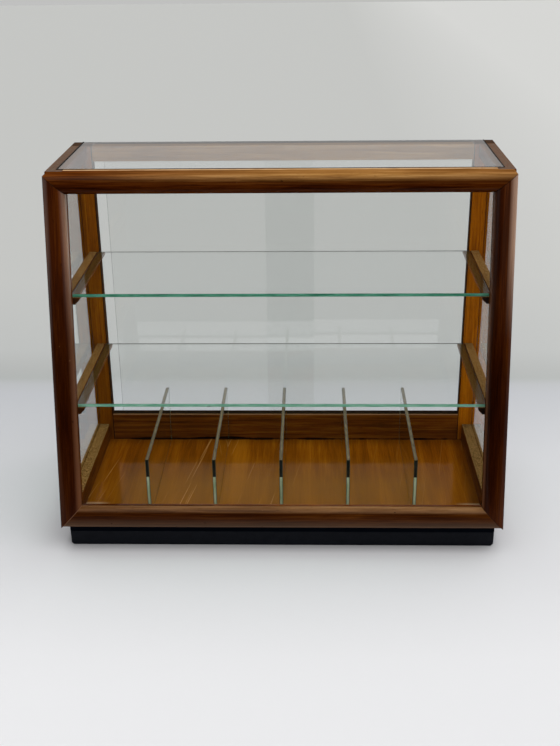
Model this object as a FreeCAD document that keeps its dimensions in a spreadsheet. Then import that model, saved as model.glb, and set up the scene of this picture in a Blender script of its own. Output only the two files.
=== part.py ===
# Slant-front counter display case: a glazed wooden case on a black plinth, with two glass shelves,
# glass dividers on its floor and two sliding glass doors at the back.
# Frame: +X to the case's right seen from the front, +Y to the back, +Z up. The origin is on the
# surface that the plinth stands on, under the middle of the case.
import FreeCAD, Part
import math
import os
import re
import Sketcher

# Driving dimensions in millimetres, and one angle in degrees.
SIZES = [
    ("case_width", 560.0, "outer width of the case"),
    ("case_depth", 278.8, "front of the moulding at its foot to the back of the posts"),
    ("case_height", 463.3, "surface to the top of the case"),
    ("front_lean", 10.7, "lean of the front from upright, degrees"),
    ("plinth_height", 20.3, "height of the plinth boards"),
    ("plinth_thickness", 15.0, "thickness of the plinth boards"),
    ("plinth_side_inset", 10.0, "plinth set in from each side of the case"),
    ("plinth_front_inset", 12.5, "plinth set in from the front of the case"),
    ("plinth_back_inset", 10.0, "plinth set in from the back of the case"),
    ("plinth_chamfer", 3.0, "worn lower corners of the plinth front"),
    ("block_size", 26.0, "glue blocks in the plinth corners"),
    ("block_gap", 2.0, "glue blocks clear of the surface"),
    ("floor_thickness", 9.0, "floor panel"),
    ("stile_face", 27.0, "face width of the front stiles"),
    ("top_face", 22.0, "face width of the front top rail"),
    ("bottom_face", 29.0, "face width of the front bottom rail"),
    ("front_lip", 12.5, "moulding in front of the front pane"),
    ("front_round", 10.0, "rounding of the moulding's front edges"),
    ("corner_round", 5.0, "worn round of the front frame's upper corners"),
    ("bead_width", 7.0, "front rebate and the beads in it"),
    ("bead_depth", 4.5, "depth of the front glazing beads"),
    ("pane_thickness", 4.0, "glass of the front and the sides"),
    ("pane_gap", 0.4, "room round a pane in its rebate or groove"),
    ("side_thickness", 21.0, "width of the side rails"),
    ("side_lip", 3.0, "wood outside the side panes"),
    ("groove_depth", 6.0, "grooves that hold the side panes"),
    ("side_top_height", 22.0, "height of the side top rails"),
    ("side_bottom_height", 25.0, "height of the side bottom rails"),
    ("top_thickness", 5.0, "top glass"),
    ("top_lip", 12.0, "wood outside the top glass"),
    ("top_margin", 31.5, "front plane at the top to the front of the top glass rebate"),
    ("top_seat", 8.0, "front seat under the top glass"),
    ("top_gap", 0.8, "joint line round the top glass"),
    ("post_width", 27.5, "width of the rear posts"),
    ("rear_lip", 13.0, "rear frame in front of the doors"),
    ("track_fin", 1.4, "fin between the two door grooves"),
    ("track_wall", 1.4, "wall behind the rear door groove"),
    ("track_step", 7.0, "door track set back from the rails' inner edge"),
    ("rear_top_height", 20.0, "height of the rear top rail"),
    ("rear_bottom_height", 41.0, "height of the rear bottom rail"),
    ("tenon_length", 8.0, "tenons of the rear rails"),
    ("tenon_shoulder", 3.0, "shoulder in front of and behind a tenon"),
    ("door_thickness", 4.0, "glass of the doors"),
    ("door_play", 0.6, "groove wider than the door"),
    ("door_recess", 6.0, "recess of the posts for the doors' edges"),
    ("door_end_gap", 0.6, "closed door to the end of its recess"),
    ("door_overlap", 49.0, "overlap of the closed doors"),
    ("door_ajar", 18.0, "left door stands open by this"),
    ("door_bite", 4.5, "door in its bottom groove, and in its top groove"),
    ("door_lift", 5.0, "room over a door to lift it out"),
    ("door_seat_gap", 0.3, "door above the bottom of its groove"),
    ("shelf_thickness", 4.0, "glass shelves"),
    ("upper_shelf_height", 318.3, "surface to the top of the upper shelf"),
    ("lower_shelf_height", 182.3, "surface to the top of the lower shelf"),
    ("shelf_front_gap", 1.6, "shelf behind the front beads"),
    ("shelf_back_gap", 0.6, "shelf in front of the posts"),
    ("shelf_side_gap", 0.8, "shelf beside the cleats"),
    ("cleat_inset", 13.0, "cleats set in from the side of the case"),
    ("cleat_strip", 11.5, "strip of a cleat beside the shelf"),
    ("cleat_ledge", 10.5, "ledge of a cleat under the shelf"),
    ("cleat_thickness", 8.5, "thickness of the ledge"),
    ("cleat_chamfer", 5.5, "chamfer under the ledge's inner edge"),
    ("divider_thickness", 4.5, "glass dividers"),
    ("divider_height", 79.0, "divider above the floor"),
    ("divider_pitch", 85.2, "divider to divider"),
    ("divider_front_gap", 6.5, "divider behind the front beads, at its top"),
    ("divider_groove", 3.0, "floor grooves under the dividers"),
    ("divider_kerf", 5.0, "kerfs of the rear bottom rail for the dividers"),
    ("divider_play", 0.4, "kerf wider and deeper than the divider"),
    ("screw_shank", 2.0, "radius of a screw's shank"),
    ("screw_head", 3.6, "radius of a screw's head"),
    ("screw_head_height", 2.6, "height of a screw's head"),
    ("screw_length", 42.0, "length of a screw under its head"),
    ("screw_sink", 1.0, "screw heads sunk into the plinth"),
    ("screw_clearance", 0.15, "room round a screw"),
    ("cut_overrun", 4.0, "cuts run past the faces that they leave by"),
]
ALIASES = {alias for alias, _, _ in SIZES}
DIVIDER_COUNT = 5
SIDES = (("left", -1), ("right", 1))

# The rounding may take at most these shares of the wall or face that it rounds.
LIP_ROUND_SHARE = 0.9
STILE_ROUND_SHARE = 0.45
TOP_ROUND_SHARE = 0.48
BOTTOM_ROUND_SHARE = 0.42
CORNER_ROUND_SHARE = 0.6
# A mitre cut runs past the corners of its mitre by this share of the face.
MITRE_OVERRUN_SHARE = 0.3
# Tenons lie between these shares of a rear rail's height, and screws at these shares of a side.
TENON_LOW_SHARE = 0.3
TENON_HIGH_SHARE = 0.75
SIDE_SCREW_SHARES = (0.3, 0.8)
BACK_SCREW_SHARES = (-0.6, 0.6)

doc = FreeCAD.newDocument("display_case")
sheet = doc.addObject("Spreadsheet::Sheet", "Sizes")
for row, (alias, size, meaning) in enumerate(SIZES, start=1):
    sheet.set(f"A{row}", meaning)
    sheet.set(f"B{row}", str(size))
    sheet.setAlias(f"B{row}", alias)
doc.recompute()


def bind(formula):
    """A formula in the sheet's words as an expression that reads the sheet."""
    return re.sub(r"[a-z_]+", lambda word: "Sizes." * (word[0] in ALIASES) + word[0], formula)


def value(formula):
    """What a formula comes to now."""
    return float(sheet.evalExpression(bind(formula)))


# Shared places. The front frame is drawn upright in a frame of its own, which leans back about
# the foot of the moulding: x across, y back from the moulding's front plane, z up the slope.
HALF = "(case_width / 2)"
BACK = "(case_depth / 2)"
BASE_TOP = "(plinth_height + floor_thickness)"
ROUND = (f"min(front_round; front_lip * {LIP_ROUND_SHARE}; stile_face * {STILE_ROUND_SHARE};"
         f" top_face * {TOP_ROUND_SHARE}; bottom_face * {BOTTOM_ROUND_SHARE})")
CORNER = f"min(corner_round; {ROUND} * {CORNER_ROUND_SHARE})"
FRONT_THICKNESS = "(front_lip + pane_thickness + bead_depth)"
SLOPE_LENGTH = f"((case_height - {BASE_TOP}) / cos(front_lean))"
SLOPE_FOOT = f"(-{BACK} - {ROUND} * (cos(front_lean) + sin(front_lean) - 1))"
STILE_INNER = f"({HALF} - stile_face)"
STILE_REBATE = f"({HALF} - stile_face + bead_width)"
BOTTOM_REBATE = "(bottom_face - bead_width)"
TOP_INNER = f"({SLOPE_LENGTH} - top_face)"
TOP_REBATE = f"({SLOPE_LENGTH} - top_face + bead_width)"
SIDE_INNER = f"({HALF} - side_thickness)"
GROOVE_OUTER = f"({HALF} - side_lip)"
GROOVE_INNER = f"({HALF} - side_lip - pane_thickness - pane_gap)"
POST_INNER = f"({HALF} - post_width)"
TRACK_GROOVE = "(door_thickness + door_play)"
POST_FRONT = f"({BACK} - rear_lip - 2 * {TRACK_GROOVE} - track_fin - track_wall)"
TRACK_FRONT = f"({POST_FRONT} + rear_lip)"
TRACK_REAR = f"({TRACK_FRONT} + {TRACK_GROOVE} + track_fin)"
TOP_SEAT = "(case_height - top_thickness)"
TOP_EDGE = f"({HALF} - top_lip)"
REAR_TOP_LOW = f"({TOP_SEAT} - rear_top_height)"
REAR_BOTTOM_HIGH = f"({BASE_TOP} + rear_bottom_height)"
DOOR_TOP = f"({REAR_TOP_LOW} + track_step + door_bite)"
DOOR_GROOVE_TOP = f"({DOOR_TOP} + door_lift)"
DOOR_GROOVE_BOTTOM = f"({REAR_BOTTOM_HIGH} - track_step - door_bite)"
DOOR_END = f"({POST_INNER} + door_recess - door_end_gap)"
DOOR_WIDTH = f"({DOOR_END} + door_overlap / 2)"
SIDE_BOTTOM_HIGH = f"({BASE_TOP} + side_bottom_height)"
SIDE_TOP_LOW = "(case_height - side_top_height)"
PANE_GROOVE_LOW = f"({SIDE_BOTTOM_HIGH} - groove_depth)"
PANE_GROOVE_HIGH = f"({SIDE_TOP_LOW} + groove_depth)"
CLEAT_OUTER = f"({HALF} - cleat_inset)"
CLEAT_STEP = f"({CLEAT_OUTER} - cleat_strip)"
CLEAT_INNER = f"({CLEAT_STEP} - cleat_ledge)"
PLINTH_SIDE = f"({HALF} - plinth_side_inset)"
PLINTH_FRONT = f"(-{BACK} + plinth_front_inset)"
PLINTH_BACK = f"({BACK} - plinth_back_inset)"
DIVIDER_TOP = f"({BASE_TOP} + divider_height)"
DIVIDER_REAR = f"({POST_FRONT} + divider_kerf)"


def slope_y(depth, height):
    """Where the plane that lies depth behind the leaning front passes a height."""
    return f"({SLOPE_FOOT} + {depth} / cos(front_lean) + ({height} - {BASE_TOP}) * tan(front_lean))"


def on_slope(back, height):
    """An upright point's place in the leaning frame: how far back and how far up the slope."""
    across = f"({back} - {SLOPE_FOOT})"
    rise = f"({height} - {BASE_TOP})"
    return (f"{across} * cos(front_lean) - {rise} * sin(front_lean)",
            f"{across} * sin(front_lean) + {rise} * cos(front_lean)")


DIVIDER_FRONT = f"({slope_y(FRONT_THICKNESS, DIVIDER_TOP)} + divider_front_gap)"
TOP_GLASS_FRONT = f"({slope_y('0', 'case_height')} + top_margin)"

sub_parts = []


def new_body(label, leaning=False):
    """An empty body, which leans back with the front frame where asked."""
    body = doc.addObject("PartDesign::Body", label)
    body.Label = label
    if leaning:
        lean = FreeCAD.Rotation(FreeCAD.Vector(1, 0, 0), -value("front_lean"))
        body.Placement = FreeCAD.Placement(FreeCAD.Vector(0, 0, 0), lean)
        body.setExpression("Placement.Rotation.Angle", bind("-front_lean"))
        body.setExpression("Placement.Base.y", bind(SLOPE_FOOT))
        body.setExpression("Placement.Base.z", bind(BASE_TOP))
    sub_parts.append(body)
    return body


def new_sketch(body, plane, start):
    """An empty sketch, at start along its plane's axis."""
    sketch = body.newObject("Sketcher::SketchObject", f"{body.Label}_outline")
    planes = {feature.Role: feature for feature in body.Origin.OriginFeatures}
    sketch.AttachmentSupport = [(planes[plane], "")]
    sketch.MapMode = "FlatFace"
    sketch.setExpression("AttachmentOffset.Base.z", bind(f"-({start})" if plane == "XZ_Plane" else start))
    return sketch


def fix(sketch, element, point, across=None, up=None):
    """Hold a point of a sketch at a place across, up or both."""
    for kind, formula in (("DistanceX", across), ("DistanceY", up)):
        if formula:
            rule = Sketcher.Constraint(kind, -1, 1, element, point, value(formula))
            sketch.setExpression(f"Constraints[{sketch.addConstraint(rule)}]", bind(formula))


def fix_radius(sketch, element, radius):
    """Hold the radius of a circle or an arc."""
    rule = Sketcher.Constraint("Radius", element, value(radius))
    sketch.setExpression(f"Constraints[{sketch.addConstraint(rule)}]", bind(radius))


def outline(body, plane, loops, start):
    """A sketch of closed loops, each a list of corners or a circle, at start along its axis."""
    sketch = new_sketch(body, plane, start)
    for loop in loops:
        if loop[0] == "circle":
            _, across, up, radius = loop
            centre = FreeCAD.Vector(value(across), value(up), 0)
            ring = sketch.addGeometry(Part.Circle(centre, FreeCAD.Vector(0, 0, 1), value(radius)))
            fix(sketch, ring, 3, across, up)
            fix_radius(sketch, ring, radius)
            continue
        corners = [FreeCAD.Vector(value(across), value(up), 0) for across, up in loop]
        lines = [sketch.addGeometry(Part.LineSegment(corner, following))
                 for corner, following in zip(corners, corners[1:] + corners[:1])]
        for line, before, (across, up) in zip(lines, lines[-1:] + lines[:-1], loop):
            sketch.addConstraint(Sketcher.Constraint("Coincident", before, 2, line, 1))
            fix(sketch, line, 1, across, up)
    return sketch


def prism(body, plane, loops, start, length, cut=False):
    """Loops drawn out, or cut away, from start over length, along the plane's positive axis."""
    sketch = outline(body, plane, loops, start)
    kind = "Pocket" if cut else "Pad"
    feature = body.newObject(f"PartDesign::{kind}", f"{body.Label}_{kind.lower()}")
    feature.Profile = sketch
    feature.setExpression("Length", bind(length))
    feature.Reversed = (plane == "XZ_Plane") != cut
    doc.recompute()
    return feature


def rectangle(left, right, low, high):
    """The four corners of a rectangle."""
    return [(left, low), (right, low), (right, high), (left, high)]


def sided(side, points):
    """Points with their across value on the chosen side of the case."""
    return [(f"{side} * ({across})", up) for across, up in points]


def across_span(side, inner, outer):
    """Start and length along X of what lies between inner and outer on one side."""
    start = f"-({outer})" if side < 0 else inner
    return start, f"({outer}) - ({inner})"


def plate(label, plane, corners, start, length, leaning=False):
    """A body that is one plain drawn-out outline."""
    body = new_body(label, leaning)
    prism(body, plane, [corners], start, length)
    return body


def round_front(body, pad):
    """Round the long edges that lie in the leaning front plane."""
    widest_end = value(f"max(stile_face; top_face; bottom_face) + {FRONT_THICKNESS}")
    edges = [f"Edge{number}" for number, edge in enumerate(pad.Shape.Edges, start=1)
             if all(corner.Y < value(ROUND) for corner in edge.Vertexes) and edge.Length > widest_end]
    fillet = body.newObject("PartDesign::Fillet", f"{body.Label}_round")
    fillet.Base = (pad, edges)
    fillet.setExpression("Radius", bind(ROUND))
    doc.recompute()


def wear_corner(body, side):
    """Round an upper corner of the front frame, straight back from the moulding's front plane."""
    sketch = new_sketch(body, "XZ_Plane", "0")
    centre = (f"{side} * ({HALF} - {CORNER})", f"({SLOPE_LENGTH} - {CORNER})")
    outside = (f"{side} * ({HALF} + cut_overrun)", f"({SLOPE_LENGTH} + cut_overrun)")
    top, beside = (centre[0], SLOPE_LENGTH), (f"{side} * {HALF}", centre[1])
    path = [top, (centre[0], outside[1]), outside, (outside[0], centre[1]), beside]
    points = [FreeCAD.Vector(value(across), value(up), 0) for across, up in path]
    lines = [sketch.addGeometry(Part.LineSegment(*ends)) for ends in zip(points, points[1:])]
    circle = Part.Circle(FreeCAD.Vector(*map(value, centre), 0), FreeCAD.Vector(0, 0, 1), value(CORNER))
    quarter = (0, math.pi / 2) if side > 0 else (math.pi / 2, math.pi)
    arc = sketch.addGeometry(Part.ArcOfCircle(circle, *quarter))
    top_end, beside_end = (2, 1) if side > 0 else (1, 2)
    sketch.addConstraint(Sketcher.Constraint("Coincident", arc, top_end, lines[0], 1))
    for line, following in zip(lines, lines[1:]):
        sketch.addConstraint(Sketcher.Constraint("Coincident", line, 2, following, 1))
    sketch.addConstraint(Sketcher.Constraint("Coincident", lines[-1], 2, arc, beside_end))
    for line, place in zip(lines[1:], path[1:]):
        fix(sketch, line, 1, *place)
    fix(sketch, arc, 3, *centre)
    fix_radius(sketch, arc, CORNER)
    fix(sketch, arc, top_end, across=centre[0])
    fix(sketch, arc, beside_end, up=centre[1])
    pocket = body.newObject("PartDesign::Pocket", f"{body.Label}_corner")
    pocket.Profile = sketch
    pocket.setExpression("Length", bind(f"({FRONT_THICKNESS} + cut_overrun) / cos(front_lean)"))
    pocket.UseCustomVector = True
    pocket.AlongSketchNormal = False
    pocket.Direction = FreeCAD.Vector(0, 1, 0)
    pocket.setExpression("Direction.y", bind("cos(front_lean)"))
    pocket.setExpression("Direction.z", bind("sin(front_lean)"))
    doc.recompute()


def mitre(side, corner_height, inner_height, keep_inside):
    """Triangle that a mitre takes off: beyond it on a rail, inside it on a stile."""
    rise = f"({inner_height} - {corner_height})"
    outer = (f"({HALF} + stile_face * {MITRE_OVERRUN_SHARE})",
             f"({corner_height} - {rise} * {MITRE_OVERRUN_SHARE})")
    inner = (f"({STILE_INNER} - stile_face * {MITRE_OVERRUN_SHARE})",
             f"({inner_height} + {rise} * {MITRE_OVERRUN_SHARE})")
    third = (outer[0], inner[1]) if keep_inside else (inner[0], outer[1])
    return sided(side, [outer, inner, third])


def trim_to_slope(body, side, inner, outer, low, high):
    """Cut the front end of an upright member to the back of the leaning frame."""
    below = f"({low} - cut_overrun)"
    above = f"({high} + cut_overrun)"
    foot = slope_y(FRONT_THICKNESS, below)
    wedge = [(foot, below), (slope_y(FRONT_THICKNESS, above), above), (foot, above)]
    span = across_span(side, f"{inner} - cut_overrun", f"{outer} + cut_overrun")
    prism(body, "YZ_Plane", [wedge], *span, True)


def screw_places():
    """Across and back places of the screws: up the side boards and along the back board."""
    side_x = f"(({PLINTH_SIDE} + {SIDE_INNER}) / 2)"
    places = []
    for _, side in SIDES:
        for share in SIDE_SCREW_SHARES:
            along = f"({PLINTH_FRONT} + ({PLINTH_BACK} - {PLINTH_FRONT}) * {share})"
            places.append((f"{side} * {side_x}", along))
    back_y = f"(({PLINTH_BACK} + {POST_FRONT}) / 2)"
    for share in BACK_SCREW_SHARES:
        places.append((f"{PLINTH_SIDE} * {share}", back_y))
    return places


SCREWS = screw_places()
LEFT_SCREWS = SCREWS[:2]
RIGHT_SCREWS = SCREWS[2:4]
BACK_SCREWS = SCREWS[4:]
SCREW_TIP = "(screw_sink + screw_head_height + screw_length)"


def screw_holes(body, places, low, high, head=False):
    """Round holes up through a board, and the recesses for the heads where asked."""
    rings = [("circle", *place, "screw_shank + screw_clearance") for place in places]
    prism(body, "XY_Plane", rings, f"{low} - cut_overrun", f"{high} - {low} + 2 * cut_overrun", True)
    if head:
        rings = [("circle", *place, "screw_head + screw_clearance") for place in places]
        prism(body, "XY_Plane", rings, "-cut_overrun", "cut_overrun + screw_sink + screw_head_height", True)


def pilot_holes(body, places):
    """Blind holes for the screws' ends, up from a rail's underside."""
    rings = [("circle", *place, "screw_shank + screw_clearance") for place in places]
    start = f"({BASE_TOP} - cut_overrun)"
    prism(body, "XY_Plane", rings, start, f"{SCREW_TIP} + screw_clearance - {start}", True)


def divider_places():
    """Middles of the dividers across the case."""
    return [f"{number - (DIVIDER_COUNT - 1) / 2} * divider_pitch" for number in range(DIVIDER_COUNT)]


def divider_slots(front, back):
    """Slots for all the dividers between two places along Y, seen from above."""
    half_slot = "(divider_thickness + divider_play) / 2"
    return [rectangle(f"{middle} - {half_slot}", f"{middle} + {half_slot}", front, back)
            for middle in divider_places()]


# Front frame: mitred stiles and rails with a round front, rebated for the pane and its beads.
for name, side in SIDES:
    stile = new_body(f"front_{name}_stile", leaning=True)
    section = [(STILE_INNER, "0"), (HALF, "0"), (HALF, FRONT_THICKNESS), (STILE_REBATE, FRONT_THICKNESS),
               (STILE_REBATE, "front_lip"), (STILE_INNER, "front_lip")]
    round_front(stile, prism(stile, "XY_Plane", [sided(side, section)], "0", SLOPE_LENGTH))
    groove = rectangle(GROOVE_INNER, GROOVE_OUTER, f"{FRONT_THICKNESS} - groove_depth",
                       f"{FRONT_THICKNESS} + cut_overrun")
    groove_start = f"(({PANE_GROOVE_LOW} - {BASE_TOP}) / cos(front_lean))"
    groove_end = (f"(({PANE_GROOVE_HIGH} - {BASE_TOP}) / cos(front_lean)"
                  f" + {FRONT_THICKNESS} * tan(front_lean))")
    prism(stile, "XY_Plane", [sided(side, groove)], groove_start, f"{groove_end} - {groove_start}", True)
    wear_corner(stile, side)
    mitres = [mitre(side, "0", "bottom_face", False), mitre(side, SLOPE_LENGTH, TOP_INNER, False)]
    prism(stile, "XZ_Plane", mitres, "-cut_overrun", f"{FRONT_THICKNESS} + 2 * cut_overrun", True)
    past = f"({FRONT_THICKNESS} + cut_overrun)"
    foot = [("-cut_overrun", "-cut_overrun * tan(front_lean)"), (past, f"{past} * tan(front_lean)"),
            (past, "-cut_overrun"), ("-cut_overrun", "-cut_overrun")]
    prism(stile, "YZ_Plane", [foot], *across_span(side, STILE_INNER, f"{HALF} + cut_overrun"), True)

rail = new_body("front_bottom_rail", leaning=True)
section = [("0", "0"), (FRONT_THICKNESS, f"{FRONT_THICKNESS} * tan(front_lean)"),
           (FRONT_THICKNESS, BOTTOM_REBATE), ("front_lip", BOTTOM_REBATE),
           ("front_lip", "bottom_face"), ("0", "bottom_face")]
round_front(rail, prism(rail, "YZ_Plane", [section], f"-{HALF}", "case_width"))
mitres = [mitre(side, "0", "bottom_face", True) for _, side in SIDES]
prism(rail, "XZ_Plane", mitres, "-cut_overrun", f"{FRONT_THICKNESS} + 2 * cut_overrun", True)

# The top rail runs back under the top glass as a ledge between the side rails.
rail = new_body("front_top_rail", leaning=True)
ledge_back = f"({TOP_GLASS_FRONT} + top_seat)"
ledge_low = f"({BASE_TOP} - {FRONT_THICKNESS} * sin(front_lean) + {TOP_REBATE} * cos(front_lean))"
section = [("0", TOP_INNER), ("front_lip", TOP_INNER), ("front_lip", TOP_REBATE),
           (FRONT_THICKNESS, TOP_REBATE), on_slope(ledge_back, ledge_low), on_slope(ledge_back, TOP_SEAT),
           on_slope(TOP_GLASS_FRONT, TOP_SEAT), on_slope(TOP_GLASS_FRONT, "case_height"), ("0", SLOPE_LENGTH)]
round_front(rail, prism(rail, "YZ_Plane", [section], f"-{HALF}", "case_width"))
for _, side in SIDES:
    wear_corner(rail, side)
mitres = [mitre(side, SLOPE_LENGTH, TOP_INNER, True) for _, side in SIDES]
prism(rail, "XZ_Plane", mitres, "-cut_overrun", f"{FRONT_THICKNESS} + cut_overrun", True)
ledge_reach = f"({on_slope(ledge_back, 'case_height')[0]} + top_margin)"
shoulders = [sided(side, rectangle(SIDE_INNER, f"{HALF} + cut_overrun", FRONT_THICKNESS, ledge_reach))
             for _, side in SIDES]
prism(rail, "XY_Plane", shoulders, f"{TOP_INNER} - cut_overrun", "2 * (top_face + cut_overrun)", True)

pane = rectangle(f"-({STILE_REBATE} - pane_gap)", f"{STILE_REBATE} - pane_gap",
                 f"{BOTTOM_REBATE} + pane_gap", f"{TOP_REBATE} - pane_gap")
plate("front_glass", "XZ_Plane", pane, "front_lip", "pane_thickness", leaning=True)

bead_start = "front_lip + pane_thickness"
for name, side in SIDES:
    bead = [(STILE_REBATE, BOTTOM_REBATE), (STILE_REBATE, TOP_REBATE), (STILE_INNER, TOP_INNER),
            (STILE_INNER, "bottom_face")]
    plate(f"front_{name}_bead", "XZ_Plane", sided(side, bead), bead_start, "bead_depth", leaning=True)
for name, outer, inner in (("bottom", BOTTOM_REBATE, "bottom_face"), ("top", TOP_REBATE, TOP_INNER)):
    bead = [(f"-{STILE_REBATE}", outer), (STILE_REBATE, outer), (STILE_INNER, inner),
            (f"-{STILE_INNER}", inner)]
    plate(f"front_{name}_bead", "XZ_Plane", bead, bead_start, "bead_depth", leaning=True)

# Sides: rails grooved for the panes, between the front stiles and the rear posts.
for name, side in SIDES:
    rail = new_body(f"{name}_top_rail")
    section = [(SIDE_INNER, SIDE_TOP_LOW), (GROOVE_INNER, SIDE_TOP_LOW), (GROOVE_INNER, PANE_GROOVE_HIGH),
               (GROOVE_OUTER, PANE_GROOVE_HIGH), (GROOVE_OUTER, SIDE_TOP_LOW), (HALF, SIDE_TOP_LOW),
               (HALF, "case_height"), (SIDE_INNER, "case_height")]
    start = slope_y(FRONT_THICKNESS, SIDE_TOP_LOW)
    prism(rail, "XZ_Plane", [sided(side, section)], start, f"{POST_FRONT} - {start}")
    trim_to_slope(rail, side, SIDE_INNER, HALF, SIDE_TOP_LOW, "case_height")
    rebate = rectangle(f"{SIDE_INNER} - cut_overrun", TOP_EDGE, TOP_GLASS_FRONT,
                       f"{POST_FRONT} + cut_overrun")
    prism(rail, "XY_Plane", [sided(side, rebate)], TOP_SEAT, "top_thickness + cut_overrun", True)

    rail = new_body(f"{name}_bottom_rail")
    section = [(SIDE_INNER, BASE_TOP), (HALF, BASE_TOP), (HALF, SIDE_BOTTOM_HIGH),
               (GROOVE_OUTER, SIDE_BOTTOM_HIGH), (GROOVE_OUTER, PANE_GROOVE_LOW),
               (GROOVE_INNER, PANE_GROOVE_LOW), (GROOVE_INNER, SIDE_BOTTOM_HIGH),
               (SIDE_INNER, SIDE_BOTTOM_HIGH)]
    start = slope_y(FRONT_THICKNESS, BASE_TOP)
    prism(rail, "XZ_Plane", [sided(side, section)], start, f"{POST_FRONT} - {start}")
    trim_to_slope(rail, side, SIDE_INNER, HALF, BASE_TOP, SIDE_BOTTOM_HIGH)
    pilot_holes(rail, LEFT_SCREWS if side < 0 else RIGHT_SCREWS)

    edge_depth = f"({FRONT_THICKNESS} - groove_depth + pane_gap)"
    pane_low = f"({PANE_GROOVE_LOW} + pane_gap)"
    pane_high = f"({PANE_GROOVE_HIGH} - pane_gap)"
    pane_back = f"{POST_FRONT} + groove_depth - pane_gap"
    pane = [(slope_y(edge_depth, pane_low), pane_low), (pane_back, pane_low), (pane_back, pane_high),
            (slope_y(edge_depth, pane_high), pane_high)]
    pane_outer = f"({GROOVE_OUTER} - pane_gap / 2)"
    plate(f"{name}_side_glass", "YZ_Plane", pane,
          *across_span(side, f"{pane_outer} - pane_thickness", pane_outer))

# Rear posts: recessed for the doors' edges, grooved for the panes, mortised for the rear rails.
TENON_FRONT = f"({POST_FRONT} + tenon_shoulder)"
TENON_BACK = f"({TRACK_FRONT} - tenon_shoulder)"


def tenon_height(low, height):
    """Lowest and highest place of a rear rail's tenon."""
    return f"({low} + {height} * {TENON_LOW_SHARE})", f"({low} + {height} * {TENON_HIGH_SHARE})"


BOTTOM_TENON = tenon_height(BASE_TOP, "rear_bottom_height")
TOP_TENON = tenon_height(REAR_TOP_LOW, "rear_top_height")
for name, side in SIDES:
    post = new_body(f"{name}_rear_post")
    section = rectangle(POST_INNER, HALF, POST_FRONT, BACK)
    prism(post, "XY_Plane", [sided(side, section)], BASE_TOP, f"case_height - {BASE_TOP}")
    recess = rectangle(f"{POST_INNER} - cut_overrun", f"{POST_INNER} + door_recess", TRACK_FRONT,
                       f"{BACK} + cut_overrun")
    prism(post, "XY_Plane", [sided(side, recess)], DOOR_GROOVE_BOTTOM,
          f"{DOOR_GROOVE_TOP} - {DOOR_GROOVE_BOTTOM}", True)
    groove = rectangle(GROOVE_INNER, GROOVE_OUTER, f"{POST_FRONT} - cut_overrun",
                       f"{POST_FRONT} + groove_depth")
    groove_length = f"{PANE_GROOVE_HIGH} - {PANE_GROOVE_LOW}"
    prism(post, "XY_Plane", [sided(side, groove)], PANE_GROOVE_LOW, groove_length, True)
    notch = rectangle(f"{POST_INNER} - cut_overrun", TOP_EDGE, f"{POST_FRONT} - cut_overrun",
                      f"{BACK} + cut_overrun")
    prism(post, "XY_Plane", [sided(side, notch)], TOP_SEAT, "top_thickness + cut_overrun", True)
    mortises = [rectangle(f"{TENON_FRONT} - pane_gap", f"{TENON_BACK} + pane_gap", f"{low} - pane_gap",
                          f"{high} + pane_gap") for low, high in (BOTTOM_TENON, TOP_TENON)]
    prism(post, "YZ_Plane", mortises,
          *across_span(side, f"{POST_INNER} - cut_overrun", f"{POST_INNER} + tenon_length + pane_gap"), True)


def rear_rail(label, outer, lip, track, groove_end, tenon):
    """A rear rail: a lip in front of two door grooves, and a tenon at each end."""
    body = new_body(label)
    section = [(POST_FRONT, outer), (POST_FRONT, lip), (TRACK_FRONT, lip), (TRACK_FRONT, groove_end),
               (f"{TRACK_FRONT} + {TRACK_GROOVE}", groove_end), (f"{TRACK_FRONT} + {TRACK_GROOVE}", track),
               (TRACK_REAR, track), (TRACK_REAR, groove_end), (f"{TRACK_REAR} + {TRACK_GROOVE}", groove_end),
               (f"{TRACK_REAR} + {TRACK_GROOVE}", track), (BACK, track), (BACK, outer)]
    prism(body, "YZ_Plane", [section], f"-{POST_INNER}", f"2 * {POST_INNER}")
    reach = f"({POST_INNER} + tenon_length)"
    prism(body, "YZ_Plane", [rectangle(TENON_FRONT, TENON_BACK, *tenon)], f"-{reach}", f"2 * {reach}")
    return body


rear_rail("rear_top_rail", TOP_SEAT, REAR_TOP_LOW, f"{REAR_TOP_LOW} + track_step", DOOR_GROOVE_TOP, TOP_TENON)
rail = rear_rail("rear_bottom_rail", BASE_TOP, REAR_BOTTOM_HIGH, f"{REAR_BOTTOM_HIGH} - track_step",
                 DOOR_GROOVE_BOTTOM, BOTTOM_TENON)
kerfs = divider_slots(f"{POST_FRONT} - cut_overrun", f"{DIVIDER_REAR} + divider_play")
prism(rail, "XY_Plane", kerfs, f"{BASE_TOP} - cut_overrun", "rear_bottom_height + 2 * cut_overrun", True)
pilot_holes(rail, BACK_SCREWS)

# Sliding doors: the left one in the front groove and ajar, the right one in the rear groove and closed.
door_low = f"({DOOR_GROOVE_BOTTOM} + door_seat_gap)"
for label, left, groove in (("left_door_glass", f"-{DOOR_END} + door_ajar", TRACK_FRONT),
                            ("right_door_glass", f"{DOOR_END} - {DOOR_WIDTH}", TRACK_REAR)):
    door = rectangle(left, f"{left} + {DOOR_WIDTH}", door_low, DOOR_TOP)
    plate(label, "XZ_Plane", door, f"{groove} + door_play / 2", "door_thickness")

# Top glass, let in flush at the front and sides and carried over the rear top rail.
glass_edge = f"({TOP_EDGE} - top_gap)"
plate("top_glass", "XY_Plane", rectangle(f"-{glass_edge}", glass_edge, f"{TOP_GLASS_FRONT} + top_gap", BACK),
      TOP_SEAT, "top_thickness")

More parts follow.
